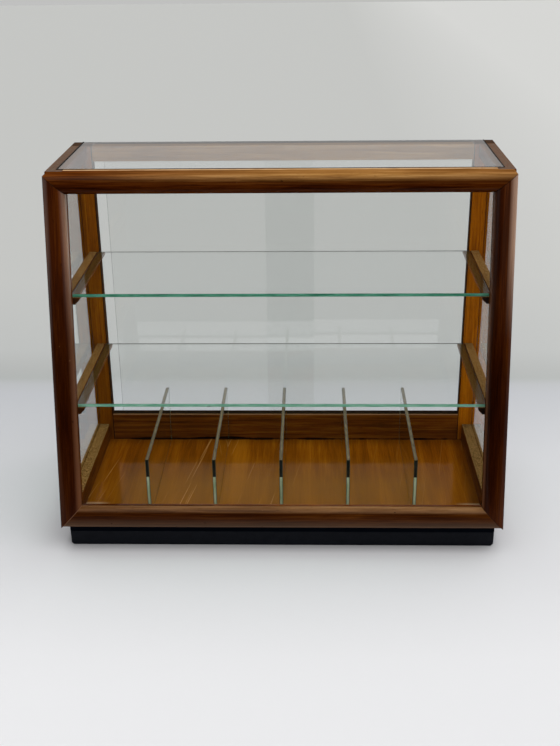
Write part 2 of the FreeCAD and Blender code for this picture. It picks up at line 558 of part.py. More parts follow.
# Glass shelves on rebated cleats.
for level, height in (("upper", "upper_shelf_height"), ("lower", "lower_shelf_height")):
    shelf_edge = f"({CLEAT_STEP} - shelf_side_gap)"
    shelf = rectangle(f"-{shelf_edge}", shelf_edge, f"{slope_y(FRONT_THICKNESS, height)} + shelf_front_gap",
                      f"{POST_FRONT} - shelf_back_gap")
    plate(f"{level}_shelf", "XY_Plane", shelf, f"{height} - shelf_thickness", "shelf_thickness")
    seat = f"({height} - shelf_thickness)"
    low = f"({seat} - cleat_thickness)"
    for name, side in SIDES:
        cleat = new_body(f"{level}_{name}_cleat")
        section = [(CLEAT_OUTER, height), (CLEAT_STEP, height), (CLEAT_STEP, seat), (CLEAT_INNER, seat),
                   (CLEAT_INNER, f"{low} + cleat_chamfer"), (f"{CLEAT_INNER} + cleat_chamfer", low),
                   (CLEAT_OUTER, low)]
        start = slope_y(FRONT_THICKNESS, low)
        prism(cleat, "XZ_Plane", [sided(side, section)], start, f"{POST_FRONT} - {start}")
        trim_to_slope(cleat, side, CLEAT_INNER, CLEAT_OUTER, low, height)

# Floor panel with grooves for the dividers, and the dividers.
panel = plate("floor_panel", "XY_Plane", rectangle(f"-{PLINTH_SIDE}", PLINTH_SIDE, PLINTH_FRONT, PLINTH_BACK),
              "plinth_height", "floor_thickness")
prism(panel, "XY_Plane", divider_slots(f"{DIVIDER_FRONT} - divider_play", f"{DIVIDER_REAR} + divider_play"),
      f"{BASE_TOP} - divider_groove", "divider_groove + cut_overrun", True)
screw_holes(panel, SCREWS, "plinth_height", BASE_TOP)
for number, middle in enumerate(divider_places(), start=1):
    divider = rectangle(DIVIDER_FRONT, DIVIDER_REAR, f"{BASE_TOP} - divider_groove", DIVIDER_TOP)
    plate(f"divider_{number}", "YZ_Plane", divider, f"{middle} - divider_thickness / 2", "divider_thickness")

# Plinth: front and back boards, and side boards between them.
front = [(f"-{PLINTH_SIDE} + plinth_chamfer", "0"), (f"{PLINTH_SIDE} - plinth_chamfer", "0"),
         (PLINTH_SIDE, "plinth_chamfer"), (PLINTH_SIDE, "plinth_height"),
         (f"-{PLINTH_SIDE}", "plinth_height"), (f"-{PLINTH_SIDE}", "plinth_chamfer")]
plate("plinth_front", "XZ_Plane", front, PLINTH_FRONT, "plinth_thickness")
back = plate("plinth_back", "XZ_Plane", rectangle(f"-{PLINTH_SIDE}", PLINTH_SIDE, "0", "plinth_height"),
             f"{PLINTH_BACK} - plinth_thickness", "plinth_thickness")
screw_holes(back, BACK_SCREWS, "0", "plinth_height", head=True)
for name, side in SIDES:
    board = sided(side, rectangle(f"{PLINTH_SIDE} - plinth_thickness", PLINTH_SIDE, "0", "plinth_height"))
    board = plate(f"plinth_{name}", "XZ_Plane", board, f"{PLINTH_FRONT} + plinth_thickness",
                  f"{PLINTH_BACK} - {PLINTH_FRONT} - 2 * plinth_thickness")
    screw_holes(board, LEFT_SCREWS if side < 0 else RIGHT_SCREWS, "0", "plinth_height", head=True)


def group(label, members):
    """Separate solids that share one node."""
    compound = doc.addObject("Part::Compound", label)
    compound.Label = label
    compound.Links = members
    sub_parts.append(compound)


def placed(kind, name, sizes, across, back, height):
    """A primitive with its sizes and its place bound to the sheet."""
    solid = doc.addObject(kind, name)
    for property_name, formula in sizes.items():
        solid.setExpression(property_name, bind(formula))
    for axis, formula in (("x", across), ("y", back), ("z", height)):
        solid.setExpression(f"Placement.Base.{axis}", bind(formula))
    return solid


blocks = []
for name, side in SIDES:
    inner_side = f"({PLINTH_SIDE} - plinth_thickness)"
    left = f"-{inner_side}" if side < 0 else f"{inner_side} - block_size"
    for end, front in (("front", f"{PLINTH_FRONT} + plinth_thickness"),
                       ("back", f"{PLINTH_BACK} - plinth_thickness - block_size")):
        block_sizes = {"Length": "block_size", "Width": "block_size", "Height": "plinth_height - block_gap"}
        blocks.append(placed("Part::Box", f"block_{name}_{end}", block_sizes, left, front, "block_gap"))
group("plinth_corner_blocks", blocks)

screws = []
for number, (across, back) in enumerate(SCREWS, start=1):
    head = placed("Part::Cylinder", f"screw_head_{number}",
                  {"Radius": "screw_head", "Height": "screw_head_height"}, across, back, "screw_sink")
    shank = placed("Part::Cylinder", f"screw_shank_{number}",
                   {"Radius": "screw_shank", "Height": "screw_length"},
                   across, back, "screw_sink + screw_head_height")
    screw = doc.addObject("Part::Fuse", f"screw_{number}")
    screw.Base = head
    screw.Tool = shank
    screws.append(screw)
group("plinth_screws", screws)

doc.recompute()

# Every object is sound, every cut takes something away, and each piece is valid, before any is written.
for item in doc.Objects:
    if "Invalid" in item.State or "Error" in item.State:
        raise RuntimeError(f"{item.Label} failed: {item.State}")
    if item.TypeId == "PartDesign::Pocket" and item.Shape.Volume >= item.BaseFeature.Shape.Volume:
        raise RuntimeError(f"{item.Label} cuts nothing")
for sub_part in sub_parts:
    if sub_part.Shape.isNull() or not sub_part.Shape.isValid():
        raise RuntimeError(f"{sub_part.Label} has no valid shape")

os.makedirs("parts", exist_ok=True)
for sub_part in sub_parts:
    sub_part.Shape.exportStep(f"parts/{sub_part.Label}.step")
print(f"{len(sub_parts)} pieces written")
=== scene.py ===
# Slant-front counter display case: finishes, light and camera round the fixed model.
import math

import bpy
from mathutils import Matrix, Vector


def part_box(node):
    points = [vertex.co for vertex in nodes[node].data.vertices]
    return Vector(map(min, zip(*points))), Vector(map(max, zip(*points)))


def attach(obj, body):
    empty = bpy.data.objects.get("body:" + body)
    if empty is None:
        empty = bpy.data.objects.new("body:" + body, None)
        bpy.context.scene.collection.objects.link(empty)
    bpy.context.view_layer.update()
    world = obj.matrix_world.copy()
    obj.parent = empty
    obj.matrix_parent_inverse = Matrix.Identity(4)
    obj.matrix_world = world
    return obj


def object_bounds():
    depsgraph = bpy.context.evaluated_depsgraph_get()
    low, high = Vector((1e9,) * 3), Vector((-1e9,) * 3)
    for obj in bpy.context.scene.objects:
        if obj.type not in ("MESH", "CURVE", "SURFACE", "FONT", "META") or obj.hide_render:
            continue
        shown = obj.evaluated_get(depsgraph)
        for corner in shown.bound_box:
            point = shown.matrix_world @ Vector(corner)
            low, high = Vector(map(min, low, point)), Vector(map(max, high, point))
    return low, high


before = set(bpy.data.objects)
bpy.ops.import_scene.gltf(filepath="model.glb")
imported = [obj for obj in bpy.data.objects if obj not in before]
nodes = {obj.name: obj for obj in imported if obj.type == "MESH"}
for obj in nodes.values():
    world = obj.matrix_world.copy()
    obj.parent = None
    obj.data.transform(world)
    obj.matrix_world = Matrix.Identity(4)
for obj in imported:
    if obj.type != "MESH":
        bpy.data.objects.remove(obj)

cad_low, cad_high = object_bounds()
scene = bpy.context.scene
MM = 0.001

# The camera, fitted to the photograph's frame of 560 by 746 pixels.
IMAGE_WIDTH = 560
FOCAL_PIXELS = 1052.2
CAMERA_PLACE = Vector((35.8, -1275.4, 740.1)) * MM
CAMERA_PITCH = math.radians(23.50)
CAMERA_YAW = math.radians(-1.733)
CAMERA_ROLL = math.radians(-0.698)

# Directions. The front leans back, as far as its beads at the top and the foot say.
ACROSS = Vector((1, 0, 0))
BACK = Vector((0, 1, 0))
UP = Vector((0, 0, 1))
TOP_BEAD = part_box("front_top_bead")[1]
FOOT_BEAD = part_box("front_bottom_bead")[1]
LEAN = math.atan2(TOP_BEAD.y - FOOT_BEAD.y, TOP_BEAD.z - FOOT_BEAD.z)
SLOPE = Vector((0, math.sin(LEAN), math.cos(LEAN)))

# Places read from the frame.
FLOOR_LOW, FLOOR_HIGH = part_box("floor_panel")
REAR_RAIL_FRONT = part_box("rear_bottom_rail")[0].y
POST_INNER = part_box("right_rear_post")[0].x
TOP_GLASS_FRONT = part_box("top_glass")[0].y
SHELF_MIDDLE = (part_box("upper_shelf")[0].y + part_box("upper_shelf")[1].y) / 2
STILE_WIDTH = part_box("front_left_stile")[1].x - cad_low.x

# The front frame: its faces, its thickness, and how far up its slope its outer corners lie.
TOP_FACE = 22 * MM
FOOT_FACE = 29 * MM
FRONT_THICKNESS = 21 * MM
FRONT_FOOT = FOOT_BEAD.y - FRONT_THICKNESS * math.cos(LEAN) - FOOT_FACE * math.sin(LEAN)
FOOT_CORNER = Vector((0, FRONT_FOOT, FLOOR_HIGH.z)).dot(SLOPE)
TOP_CORNER = FOOT_CORNER + (cad_high.z - FLOOR_HIGH.z) / math.cos(LEAN)

# Heights between which the front stiles' painted highlights and painted shade come in, and their varnish
# dulls, from least to most.
STILE_HIGHLIGHT = (270 * MM, 380 * MM)
STILE_HIGHLIGHT_BAND = (320 * MM, 390 * MM)
STILE_INNER_SHADE = (420 * MM, 340 * MM)
STILE_SHADE = (370 * MM, 240 * MM)
STILE_RIM_HIGHLIGHT = (380 * MM, 300 * MM)
STILE_DULL = (340 * MM, 260 * MM)

# Places across the case, from its middle, between which painted light, wear and other marks come in or go
# out.
TOP_LEFT_END = (-240 * MM, 40 * MM)
TOP_RIGHT_END = (120 * MM, 270 * MM)
FOOT_LEFT_END = (-200 * MM, 80 * MM)
TIPS_DARKER = (-100 * MM, 100 * MM)
FEWER_SCRATCHES = (-60 * MM, 40 * MM)
FLOOR_ENDS = (190 * MM, 235 * MM)
DUST_BESIDE = (226 * MM, 242 * MM)

# Places from front to back between which the floor's painted light and its dust come in.
FLOOR_LIT_FROM_FRONT = (60 * MM, -20 * MM)
DUST_IN_FRONT = (-68 * MM, -72 * MM)

# Where across the case the joint under the rear bottom rail is widest.
WIDEST_JOINT = -95 * MM

# Heights between which the dividers' front edges turn from green to black.
DIVIDER_BLACK = (83 * MM, 84 * MM)


def srgb(red, green, blue):
    """A colour written as it looks on screen, 0 to 255, for a shader."""
    def linear(level):
        level /= 255
        return level / 12.92 if level <= 0.04045 else ((level + 0.055) / 1.055) ** 2.4
    return (linear(red), linear(green), linear(blue), 1)


class Shader:
    """The node tree of a material or a world, with short ways to add nodes and links."""

    def __init__(self, owner, output="ShaderNodeOutputMaterial"):
        owner.use_nodes = True
        self.owner = owner
        self.tree = owner.node_tree
        self.tree.nodes.clear()
        self.output = self.add(output)

    def add(self, kind, **settings):
        """A node of a kind.

        Settings in capitals are input sockets, with _ for a space, and the others are properties.
        """
        node = self.tree.nodes.new(kind)
        for key, value in settings.items():
            if key[0].isupper():
                self.put(node.inputs[key.replace("_", " ")], value)
            else:
                setattr(node, key, value)
        return node

    def put(self, socket, value):
        """Link another node's output to a socket, or set the socket's own value."""
        if isinstance(value, bpy.types.NodeSocket):
            self.tree.links.new(value, socket)
        else:
            socket.default_value = value

    def maths(self, operation, first, second=0.0):
        """One operation on two values."""
        node = self.add("ShaderNodeMath", operation=operation)
        self.put(node.inputs[0], first)
        self.put(node.inputs[1], second)
        return node.outputs[0]

    def product(self, first, *others):
        """The product of two or more values."""
        result = first
        for other in others:
            result = self.maths("MULTIPLY", result, other)
        return result

    def rest(self, share):
        """What a share leaves of the whole."""
        return self.maths("SUBTRACT", 1.0, share)

    def blend(self, share, first, second):
        """Two colours mixed by a share."""
        node = self.add("ShaderNodeMix", data_type="RGBA")
        self.put(node.inputs[0], share)
        self.put(node.inputs[6], first)
        self.put(node.inputs[7], second)
        return node.outputs[2]

    def span(self, value, low, high, to_low=0.0, to_high=1.0):
        """A value carried from one range to another, and held at its ends."""
        return self.add("ShaderNodeMapRange", Value=value, From_Min=low, From_Max=high,
                        To_Min=to_low, To_Max=to_high).outputs[0]

    def ramp(self, value, stops):
        """A colour ramp through (place, colour) stops."""
        node = self.add("ShaderNodeValToRGB", Fac=value)
        elements = node.color_ramp.elements
        while len(elements) < len(stops):
            elements.new(0.5)
        for element, (place, colour) in zip(elements, stops):
            element.position = place
            element.color = colour
        return node.outputs["Color"]

    def noise(self, place, detail=3.0, roughness=0.55, distortion=0.0):
        """Smooth noise at a place, mostly between 0.3 and 0.7."""
        return self.add("ShaderNodeTexNoise", Vector=place, Scale=1.0, Detail=detail, Roughness=roughness,
                        Distortion=distortion).outputs["Fac"]

    def place(self, grain, size):
        """Object coordinates in a frame whose X runs along the grain, in units of size."""
        turn = grain.to_track_quat("X", "Z").to_euler()
        coordinates = self.add("ShaderNodeTexCoord").outputs["Object"]
        return self.add("ShaderNodeMapping", vector_type="TEXTURE", Vector=coordinates, Rotation=turn,
                        Scale=size).outputs[0]

    def normal(self, axis):
        """How far the surface faces along an axis, from -1 to 1."""
        normal = self.add("ShaderNodeTexCoord").outputs["Normal"]
        return self.add("ShaderNodeSeparateXYZ", Vector=normal).outputs[axis]

    def facing(self, axis):
        """How far the surface faces along an axis, either way, from 0 to 1."""
        return self.maths("ABSOLUTE", self.normal(axis))

    def along(self, direction):
        """How far a point lies along a direction, in metres."""
        node = self.add("ShaderNodeVectorMath", operation="DOT_PRODUCT")
        self.put(node.inputs[0], self.add("ShaderNodeTexCoord").outputs["Object"])
        self.put(node.inputs[1], direction)
        return node.outputs["Value"]

    def from_middle(self):
        """How far a point lies from the middle of the case, to either side."""
        return self.maths("ABSOLUTE", self.along(ACROSS))

    def right_half(self):
        """1 in the case's right half and 0 in its left."""
        return self.maths("GREATER_THAN", self.along(ACROSS), 0.0)

    def wander(self):
        """Slow noise, for open joints whose width wanders."""
        return self.noise(self.place(ACROSS, (50 * MM, 50 * MM, 50 * MM)), 3, 0.6)

    def worn_edges(self, radius, least):
        """A mask of the arrises, from how the normal turns near them."""
        soft = self.add("ShaderNodeBevel", samples=4, Radius=radius).outputs[0]
        true = self.add("ShaderNodeNewGeometry").outputs["Normal"]
        likeness = self.add("ShaderNodeVectorMath", operation="DOT_PRODUCT")
        self.put(likeness.inputs[0], soft)
        self.put(likeness.inputs[1], true)
        return self.span(likeness.outputs["Value"], 1.0, least)

    def mixed(self, share, first, second):
        """Two shaders mixed by a share."""
        node = self.add("ShaderNodeMixShader")
        self.put(node.inputs[0], share)
        self.put(node.inputs[1], first)
        self.put(node.inputs[2], second)
        return node.outputs[0]

    def finish(self, surface):
        """Use a surface, and give the material or world."""
        self.put(self.output.inputs["Surface"], surface)
        return self.owner


def shader(name):
    """A new material's node tree."""
    return Shader(bpy.data.materials.new(name))


# Marks on wood: each takes the shader, the colour so far and the grain, and gives the colour with the mark.
# Those that are asked for with colours, such as rubbed_top, make such a mark.

def mitres(s, colour, grain):
    """Thin joint lines where the front frame's stiles meet its rails: dark, but pale at the left foot."""
    line = (0.6 * MM, 0.25 * MM)
    inward = s.maths("SUBTRACT", cad_high.x, s.from_middle())
    height = s.along(SLOPE)
    lines = []
    for corner, face in ((TOP_CORNER, -TOP_FACE), (FOOT_CORNER, FOOT_FACE)):
        rise = s.maths("MULTIPLY", inward, face / STILE_WIDTH)
        offset = s.maths("SUBTRACT", s.maths("SUBTRACT", height, corner), rise)
        lines.append(s.span(s.maths("ABSOLUTE", offset), *line))
    top_line, foot_line = lines
    right = s.right_half()
    dark = s.maths("MAXIMUM", top_line, s.product(foot_line, right))
    pale = s.product(foot_line, s.rest(right))
    colour = s.blend(s.product(dark, 0.9), colour, srgb(14, 6, 4))
    return s.blend(s.product(pale, 0.55), colour, srgb(150, 108, 84))


def nicks(s, colour, grain):
    """A few small dark nicks and pale rubs."""
    spots = s.noise(s.place(grain, (7 * MM, 3.5 * MM, 3.5 * MM)), 2, 0.5)
    colour = s.blend(s.span(spots, 0.745, 0.775, 0.0, 0.85), colour, srgb(12, 4, 2))
    return s.blend(s.span(spots, 0.225, 0.195, 0.0, 0.5), colour, srgb(170, 122, 86))


def stile_light_and_shade(s, colour, grain):
    """The front stiles, with painted light: a painted highlight above on the side that looks right, and
    painted shade in the lower part.

    The left one has a narrower painted highlight on its outer side too, and the right one has painted shade
    on its inner side.
    Both have a pale rim along the glass, which on the left one is a painted highlight in its lower part.
    """
    height = s.along(UP)
    aside = s.normal("X")
    right = s.right_half()
    left = s.rest(right)
    turned = s.maths("ADD", aside, s.product(right, 0.50))
    # Painted highlight: the upper parts' sides that look right, lightened as if lit from the right.
    painted_highlight = s.product(s.span(height, *STILE_HIGHLIGHT), s.span(turned, 0.48, 0.98, 0.0, 0.92))
    colour = s.blend(painted_highlight, colour, srgb(182, 140, 112))
    # Painted highlight: a narrower band on the left stile's outer side.
    leftward = s.product(s.span(aside, -0.25, -0.48), s.span(aside, -0.80, -0.62))
    band = s.product(leftward, left, s.span(height, *STILE_HIGHLIGHT_BAND, 0.0, 0.5))
    colour = s.blend(band, colour, srgb(136, 100, 82))
    # Painted shade: the right stile's inner side, and both stiles' lower parts.
    inner = s.product(s.span(aside, 0.08, -0.25), right, s.span(height, *STILE_INNER_SHADE, 0.2, 0.6))
    painted_shade = s.maths("MAXIMUM", inner, s.span(height, *STILE_SHADE, 0.0, 0.62))
    colour = s.blend(painted_shade, colour, srgb(18, 3, 1))
    # Painted highlight: the left stile's pale rim in its lower part.
    left_rim_highlight = s.product(s.span(aside, 0.45, 0.95, 0.0, 0.45), s.span(height, *STILE_RIM_HIGHLIGHT), left)
    right_rim = s.product(s.span(aside, -0.78, -0.97, 0.0, 0.5), right)
    return s.blend(s.maths("ADD", left_rim_highlight, right_rim), colour, srgb(150, 100, 70))


def rubbed_rebate(s, colour, grain):
    """The top rail's inner edge along the glass, rubbed pale."""
    rubbed = (8.0 * MM, 6.0 * MM)
    gap = s.maths("SUBTRACT", TOP_GLASS_FRONT, s.along(BACK))
    near = s.product(s.span(gap, *rubbed), level_face(s))
    broken = s.span(s.noise(s.place(grain, (30 * MM, 4 * MM, 4 * MM)), 3, 0.6), 0.34, 0.52, 0.35, 0.9)
    return s.blend(s.product(near, broken), colour, srgb(212, 172, 128))


def foot_reflection_and_lines(s, colour, grain):
    """The bottom rail's lower part, greyer towards its edge as a painted reflection of the pale floor, with
    two thin pale lines along it.
    """
    greyed = (16.0 * MM, 4.0 * MM)
    line_heights = (1.8 * MM, 5.0 * MM)
    line = (1.4 * MM, 0.5 * MM)
    height = s.maths("SUBTRACT", s.along(SLOPE), FOOT_CORNER)
    # Painted reflection: the lower part greyed as if it mirrored the pale floor.
    colour = s.blend(s.span(height, *greyed, 0.0, 0.85), colour, srgb(102, 78, 60))
    for middle in line_heights:
        offset = s.maths("ABSOLUTE", s.maths("SUBTRACT", height, middle))
        colour = s.blend(s.span(offset, *line, 0.0, 0.7), colour, srgb(112, 86, 70))
    return colour


def rubbed_top(paint, least=0.35):
    """Level upper faces that are rubbed to another colour, grittily."""
    def mark(s, colour, grain):
        grit = s.span(s.noise(s.place(grain, (3.5 * MM, 2.2 * MM, 2.2 * MM)), 3, 0.7), 0.42, 0.60)
        share = s.maths("ADD", s.product(grit, 0.9 - least), least)
        return s.blend(s.product(level_face(s), share), colour, paint)
    return mark


def speckled_top(dark, light):
    """Level upper faces with the varnish gone, speckled."""
    def mark(s, colour, grain):
        level = s.span(s.normal("Z"), 0.6, 0.9)
        grit = s.noise(s.place(grain, (2.2 * MM, 1.3 * MM, 1.3 * MM)), 4, 0.75)
        return s.blend(level, colour, s.ramp(grit, [(0.38, dark), (0.62, light)]))
    return mark


def end_grain(paint):
    """Level upper faces that show end grain."""
    def mark(s, colour, grain):
        return s.blend(s.product(level_face(s), 0.85), colour, paint)
    return mark


def dark_tips(s, colour, grain):
    """The cleats' front ends, dark, and nearly black at the right."""
    share = s.span(s.along(ACROSS), *TIPS_DARKER, 0.6, 0.9)
    tip = s.span(s.normal("Y"), -0.5, -0.8)
    return s.blend(s.product(tip, share), colour, srgb(18, 13, 10))


def rear_top_shade_and_line(s, colour, grain):
    """The rear top rail's level top, darkened by painted shade to be no brighter than its sides, and black
    along its rear edge.
    """
    black_from = cad_high.y - 11.0 * MM
    black_full = cad_high.y - 8.0 * MM
    level = upper_face(s)
    # Painted shade: the level top is darkened against the light that falls on it from above.
    colour = s.blend(s.product(level, 0.8), colour, srgb(86, 71, 58))
    behind = s.span(s.along(BACK), black_from, black_full, 0.0, 0.95)
    return s.blend(s.product(level, behind), colour, srgb(10, 7, 4))


def inner_edge_grime_and_shade(s, colour, grain):
    """The posts' inner edges, dark with grime and painted shade in the door recess."""
    edge = s.span(s.from_middle(), POST_INNER + 1.5 * MM, POST_INNER + 1.0 * MM)
    # Painted shade with grime: the edges in the door recess are darkened.
    return s.blend(s.product(edge, 0.9), colour, srgb(26, 13, 4))


def arris_highlight_top_shade(s, colour, grain):
    """The rear bottom rail's upper front arris, with a painted pale highlight, and its top face behind it
    darkened as painted shade.
    """
    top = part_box("rear_bottom_rail")[1].z
    high = s.span(s.along(UP), top - 1.7 * MM, top - 1.1 * MM)
    front = s.span(s.along(BACK), REAR_RAIL_FRONT + 0.9 * MM, REAR_RAIL_FRONT + 0.6 * MM)
    # Painted shade: the rail's top face is darkened.
    colour = s.blend(upper_face(s), colour, srgb(34, 24, 15))
    # Painted highlight: a pale line along the upper front arris.
    return s.blend(s.product(high, front, 0.8), colour, srgb(168, 122, 86))


def open_foot(s, colour, grain):
    """The open joint under the rear bottom rail, black and uneven, and widest left of the middle."""
    from_widest = s.maths("ABSOLUTE", s.maths("SUBTRACT", s.along(ACROSS), WIDEST_JOINT))
    wide = s.span(from_widest, 50 * MM, 20 * MM, 0.0, 2.6 * MM)
    reach = s.maths("ADD", s.span(s.wander(), 0.36, 0.62, 0.6 * MM, 2.4 * MM), wide)
    height = s.maths("SUBTRACT", s.along(UP), FLOOR_HIGH.z)
    return s.blend(s.product(s.maths("GREATER_THAN", reach, height), 0.94), colour, srgb(12, 3, 1))


def rear_joint(s, colour, grain):
    """The floor's open joint at the rear rail, black and uneven."""
    reach = s.span(s.wander(), 0.40, 0.62, 0.2 * MM, 2.6 * MM)
    gap = s.maths("SUBTRACT", REAR_RAIL_FRONT, s.along(BACK))
    return s.blend(s.product(s.maths("GREATER_THAN", reach, gap), 0.92), colour, srgb(14, 6, 2))


def front_pane_light(s, colour, grain):
    """The floor nearer the front pane, painted paler and yellower as light through the front pane, and less
    so at its ends.
    """
    share = s.span(s.along(BACK), *FLOOR_LIT_FROM_FRONT, 0.0, 0.6)
    ends = s.span(s.from_middle(), *FLOOR_ENDS, 1.0, 0.4)
    # Painted light: a paler, yellower pool on the floor behind the front pane.
    return s.blend(s.product(share, ends), colour, srgb(138, 88, 20))


def dusty_corners(s, colour, grain):
    """The floor's two front corners, pale with dust."""
    beside = s.span(s.from_middle(), *DUST_BESIDE)
    front = s.span(s.along(BACK), *DUST_IN_FRONT, 0.0, 0.5)
    return s.blend(s.product(beside, front), colour, srgb(186, 160, 126))


def scratches(s, colour, grain):
    """Long fine pale scratches a little off the grain, fewer in the right half."""
    astray = Vector((0.16, 1, 0)).normalized()
    lines = s.noise(s.place(astray, (160 * MM, 1.6 * MM, 1.6 * MM)), 1, 0.4)
    share = s.product(s.span(lines, 0.70, 0.74), s.span(s.along(ACROSS), *FEWER_SCRATCHES, 0.45, 0.12))
    return s.blend(share, colour, srgb(196, 142, 84))


def black_edges(s, colour, grain):
    """The floor's outer edges, painted with the plinth."""
    return s.blend(outer_edge(s), colour, PLINTH_BLACK)


# Masks: each takes the shader and gives a share from 0 to 1, highest in the places that it names.

def outer_edge(s):
    """The floor panel's outer edges."""
    start = 0.3 * MM
    full = 0.1 * MM
    beside = s.span(s.from_middle(), FLOOR_HIGH.x - start, FLOOR_HIGH.x - full)
    in_front = s.span(s.along(BACK), FLOOR_LOW.y + start, FLOOR_LOW.y + full)
    behind = s.span(s.along(BACK), FLOOR_HIGH.y - start, FLOOR_HIGH.y - full)
    return s.maths("MAXIMUM", beside, s.maths("MAXIMUM", in_front, behind))


def upper_face(s):
    """Upper faces, level or nearly so."""
    return s.span(s.normal("Z"), 0.7, 0.9)


def level_face(s):
    """Level upper faces without the rounds beside them."""
    return s.span(s.normal("Z"), 0.85, 0.97)


def post_inside(s):
    """The posts' faces that look into the case, which take their paler colours, lighter on the right post as
    painted light.
    """
    side = s.maths("SIGN", s.along(ACROSS))
    inward = s.product(s.normal("X"), side, -1.0)
    front = s.product(s.normal("Y"), -1.0)
    return s.span(s.maths("MAXIMUM", inward, front), 0.5, 0.7)


def top_round_light(s):
    """Where the top rail's upper round takes painted light, weaker on its level top and towards its ends."""
    # Painted light: the more the round faces up, the paler it is painted.
    rise = s.span(s.normal("Z"), 0.15, 0.66)
    level = s.span(s.normal("Z"), 0.90, 0.98, 1.0, 0.7)
    left_end = s.span(s.along(ACROSS), *TOP_LEFT_END, 0.08, 1.0)
    right_end = s.span(s.along(ACROSS), *TOP_RIGHT_END, 1.0, 0.6)
    return s.product(rise, level, left_end, right_end)


def foot_round_light(s):
    """Where the bottom rail's upper round and top take painted light, weaker at the left."""
    # Painted light: paler where the rail faces up.
    return s.product(s.span(s.normal("Z"), 0.50, 1.0), s.span(s.along(ACROSS), *FOOT_LEFT_END, 0.50, 1.0))


def lower_stile(s):
    """The front stiles below their middle and at their left sides, where the varnish is dull."""
    below = s.span(s.along(UP), *STILE_DULL, 0.0, 0.85)
    return s.maths("MAXIMUM", below, s.span(s.normal("X"), -0.60, -0.85, 0.0, 0.7))


def wood(name, grain, palette, painted_light=None, figure=(220 * MM, 16 * MM), fibre=(50 * MM, 1.1 * MM),
         gloss=0.3, shine=0.14, wear=0.35, marks=(), matt=None):
    """Varnished wood in a dark, a middle and a light colour.

    painted_light gives paler colours, as painted light, and a mask of the places that have them. Figure and
    fibre are the length and width of its bands and of its fine streaks. Gloss is how much varnish there is,
    shine is how rough the varnish is, and wear is how far the arrises are rubbed. Matt is a mask of the
    places without varnish.
    """
    s = shader(name)
    bands = s.noise(s.place(grain, (figure[0], figure[1], figure[1])), 4, 0.6, 0.8)
    streaks = s.noise(s.place(grain, (fibre[0], fibre[1], fibre[1])), 4, 0.62)
    clouds = s.noise(s.place(grain, (110 * MM, 50 * MM, 50 * MM)), 2, 0.5)
    pores = s.span(s.noise(s.place(grain, (9 * MM, 0.7 * MM, 0.7 * MM)), 2, 0.5), 0.60, 0.72)
    tone = s.maths("ADD", s.product(bands, 0.50), s.product(streaks, 0.32))
    tone = s.maths("ADD", tone, s.product(clouds, 0.18))
    places = (0.36, 0.50, 0.64)
    colour = s.ramp(tone, list(zip(places, palette)))
    # Painted light: paler colours on the faces that the mask says the light falls on.
    if painted_light:
        pale, mask = painted_light
        colour = s.blend(mask(s), colour, s.ramp(tone, list(zip(places, pale))))
    colour = s.blend(s.product(pores, 0.45), colour, palette[0])
    patches = s.span(s.noise(s.place(grain, (30 * MM, 8 * MM, 8 * MM)), 3, 0.6), 0.45, 0.68)
    edges = s.product(s.worn_edges(1.6 * MM, 0.90), patches)
    colour = s.blend(s.product(edges, wear), colour, srgb(176, 128, 84))
    for mark in marks:
        colour = mark(s, colour, grain)
    varnish = gloss
    if matt:
        varnish = s.product(s.rest(matt(s)), gloss)
    rough = s.span(s.maths("ADD", streaks, pores), 0.3, 1.5, 0.26, 0.55)
    height = s.maths("SUBTRACT", s.product(streaks, 0.5), pores)
    bump = s.add("ShaderNodeBump", Strength=0.25, Distance=0.2 * MM, Height=height).outputs[0]
    return s.finish(s.add("ShaderNodeBsdfPrincipled", Base_Color=colour, Roughness=rough, Normal=bump,
                          Specular_IOR_Level=0.0, Coat_Weight=varnish, Coat_Roughness=shine,
                          Coat_IOR=1.5).outputs[0])


def paint(name, colour, worn):
    """Satin paint over board, rubbed along the arrises."""
    s = shader(name)
    brush = s.noise(s.place(ACROSS, (50 * MM, 1.2 * MM, 1.2 * MM)), 3, 0.6)
    spots = s.noise(s.place(ACROSS, (12 * MM, 9 * MM, 9 * MM)), 4, 0.65)
    edges = s.product(s.worn_edges(2 * MM, 0.88), s.span(spots, 0.47, 0.62))
    base = s.blend(s.span(spots, 0.3, 0.7, 0.0, 0.35), colour, worn)
    base = s.blend(s.product(edges, 0.5), base, worn)
    rough = s.span(spots, 0.3, 0.7, 0.38, 0.56)
    bump = s.add("ShaderNodeBump", Strength=0.2, Distance=0.2 * MM, Height=brush).outputs[0]
    return s.finish(s.add("ShaderNodeBsdfPrincipled", Base_Color=base, Roughness=rough, Normal=bump,
                          Specular_IOR_Level=0.1).outputs[0])


GREEN = (0.42, 0.80, 0.66, 1)
GREEN_DENSITY = 6.0


def glass(name, edge=None):
    """Float glass, green from the way that light goes through it. Edge gives the edges their own shader."""
    s = shader(name)
    pane = s.add("ShaderNodeBsdfPrincipled", Base_Color=(1, 1, 1, 1), Roughness=0.0, IOR=1.52,
                 Transmission_Weight=1.0).outputs[0]
    clear = s.add("ShaderNodeBsdfTransparent", Color=(0.94, 0.97, 0.955, 1)).outputs[0]
    surface = s.mixed(s.add("ShaderNodeLightPath").outputs["Is Shadow Ray"], pane, clear)
    if edge:
        surface = edge(s, surface)
    absorb = s.add("ShaderNodeVolumeAbsorption", Color=GREEN, Density=GREEN_DENSITY)
    s.put(s.output.inputs["Volume"], absorb.outputs[0])
    return s.finish(surface)


def ground(s, colour, surface, clear_axis):
    """Ground edges of a sheet whose clear faces look along an axis."""
    rough = s.add("ShaderNodeBsdfPrincipled", Base_Color=colour, Roughness=0.3,
                  Specular_IOR_Level=0.15).outputs[0]
    return s.mixed(s.span(s.facing(clear_axis), 0.6, 0.5), surface, rough)


